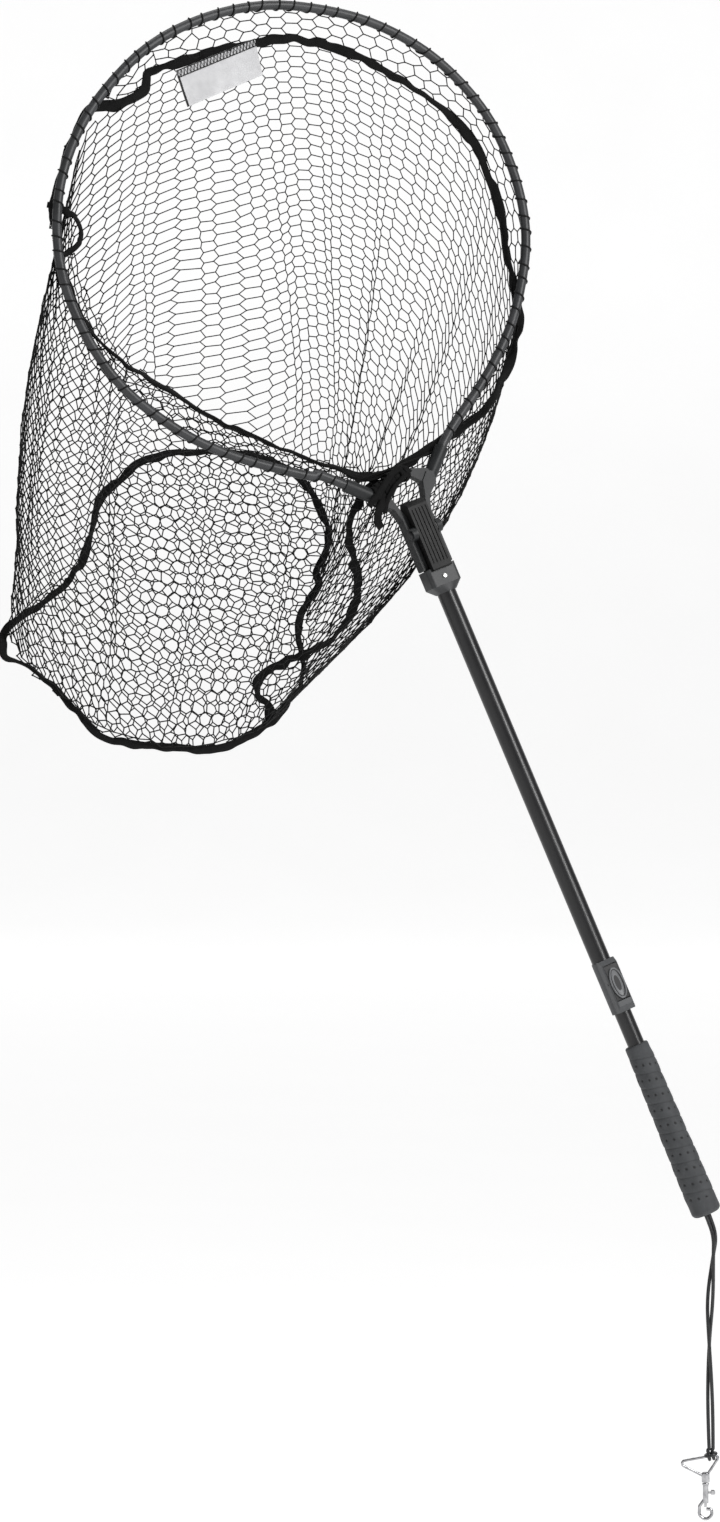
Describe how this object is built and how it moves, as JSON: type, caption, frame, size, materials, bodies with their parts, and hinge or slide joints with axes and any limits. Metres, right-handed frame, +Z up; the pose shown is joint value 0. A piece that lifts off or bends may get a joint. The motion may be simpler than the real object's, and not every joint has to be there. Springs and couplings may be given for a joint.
{
  "type": "landing net",
  "caption": "Round-hooped landing net with a deep mesh bag, a folding yoke, a telescopic handle with a thumb lock, a foam grip and a clip on a lanyard.",
  "frame": {"origin": "on the handle's axis in the middle of the grip, where the hand holds it", "axes": "+Z up, +X to the viewer's right, +Y away from the viewer; the handle slants up to -X with the hoop at its far end"},
  "size_m": [0.8191, 0.2537, 1.7551],
  "materials": {
    "tube_black": "satin black anodised tube",
    "hoop_black": "dark grey coated tube",
    "grip_foam": "matt dark grey foam rubber",
    "body_grey": "matt dark grey moulding",
    "block_black": "black moulding",
    "steel": "plain steel",
    "chrome": "bright plated",
    "nylon_pale": "pale nylon",
    "shoe_rubber": "brake rubber",
    "cord_black": "braided cord",
    "net_black": "knotted black netting",
    "tape_black": "woven black tape",
    "label_grey": "pale grey woven label"
  },
  "bodies": {
    "handle": {"inner_tube": "tube_black", "grip": "grip_foam", "butt_cap": "grip_foam", "guide_bush": "nylon_pale", "lanyard_right": "cord_black", "lanyard_left": "cord_black", "lanyard_hitch": "cord_black"},
    "pole": {"outer_tube": "tube_black", "lock_housing": "body_grey", "lock_pin": "steel", "hinge_block": "block_black", "hinge_collar": "body_grey", "collar_rivet": "steel"},
    "thumb_lock": {"lock_button": "block_black", "lock_shoe": "shoe_rubber"},
    "head": {"yoke": "body_grey", "hinge_pin": "steel", "pin_washers": "nylon_pale", "hoop_tube": "hoop_black", "hoop_wraps": "net_black", "net_band": "net_black", "rim_tape": "tape_black", "bag_wall": "net_black", "bottom_panel": "net_black", "bottom_tape": "tape_black", "side_tape": "tape_black", "net_label": "label_grey", "apex_binding": "tape_black"},
    "clip_bail": {"bail_ring": "chrome", "swivel_barrel": "chrome"},
    "clip_hook": {"snap_hook": "chrome"},
    "clip_gate": {"hook_gate": "chrome"}
  },
  "joints": [
    {"name": "telescope", "type": "slide", "parent": "handle", "child": "pole", "axis": [-0.3869, 0, 0.9221], "range_m": [0, 0.42]},
    {"name": "thumb_press", "type": "hinge", "parent": "pole", "child": "thumb_lock", "pos_m": [-0.06741, -0.01297, 0.1756], "axis": [0.8424, 0.4067, 0.3534], "range_deg": [0, 5], "stiffness_Nm_per_rad": 0.08, "springref_deg": -17.19},
    {"name": "fold", "type": "hinge", "parent": "pole", "child": "head", "pos_m": [-0.28604, -0.01096, 0.69441], "axis": [0.8424, 0.4067, 0.3534], "range_deg": [0, 180]},
    {"name": "bail_swing", "type": "hinge", "parent": "handle", "child": "clip_bail", "pos_m": [0.0428, 0, -0.36976], "axis": [0.983, 0, 0.1834], "range_deg": [-35, 35]},
    {"name": "swivel", "type": "hinge", "parent": "clip_bail", "child": "clip_hook", "pos_m": [0.0366, 0, -0.4], "axis": [0, 0, 1], "continuous": true},
    {"name": "gate", "type": "slide", "parent": "clip_hook", "child": "clip_gate", "axis": [0, 0, 1], "range_m": [0, 0.0055], "stiffness_N_per_m": 150, "springref_m": -0.004}
  ]
}
